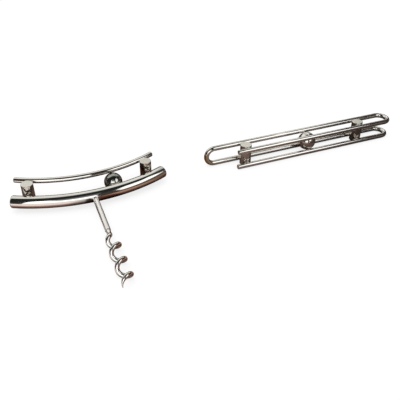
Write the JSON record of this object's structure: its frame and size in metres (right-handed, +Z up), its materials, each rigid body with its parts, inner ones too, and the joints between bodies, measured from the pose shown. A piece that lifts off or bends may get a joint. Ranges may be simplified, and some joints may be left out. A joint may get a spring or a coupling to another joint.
{
  "type": "bottle opener and corkscrew set",
  "caption": "Clip-shaped bottle opener of one bent rod with posts and a ball, beside a T-handled corkscrew whose bowed bar and rail are joined by posts and a ball.",
  "frame": {"origin": "middle of the laid out set, on the table under it", "axes": "+X along the opener from its cap hook to its closed end loops, +Y away from the worm's point, +Z up from the table"},
  "size_m": [0.3236, 0.1256, 0.0176],
  "materials": {
    "rod_chrome": "bright polished chrome plate",
    "bar_chrome": "mirror polished chrome plate",
    "post_chrome": "polished sides with satin end faces",
    "ball_chrome": "mirror polished chrome plate",
    "shank_steel": "satin",
    "worm_chrome": "polished"
  },
  "bodies": {
    "bottle_opener": {"bent_rod": "rod_chrome", "opener_left_post": "post_chrome", "opener_right_post": "post_chrome", "opener_ball": "ball_chrome"},
    "corkscrew": {"handle_bar": "bar_chrome", "handle_rail": "rod_chrome", "handle_left_post": "post_chrome", "handle_right_post": "post_chrome", "handle_ball": "ball_chrome", "shank": "shank_steel", "worm": "worm_chrome"}
  },
  "joints": [
    {"name": "corkscrew_lift", "type": "slide", "parent": "bottle_opener", "child": "corkscrew", "axis": [0, 0, 1], "range_m": [0, 0.1]}
  ]
}
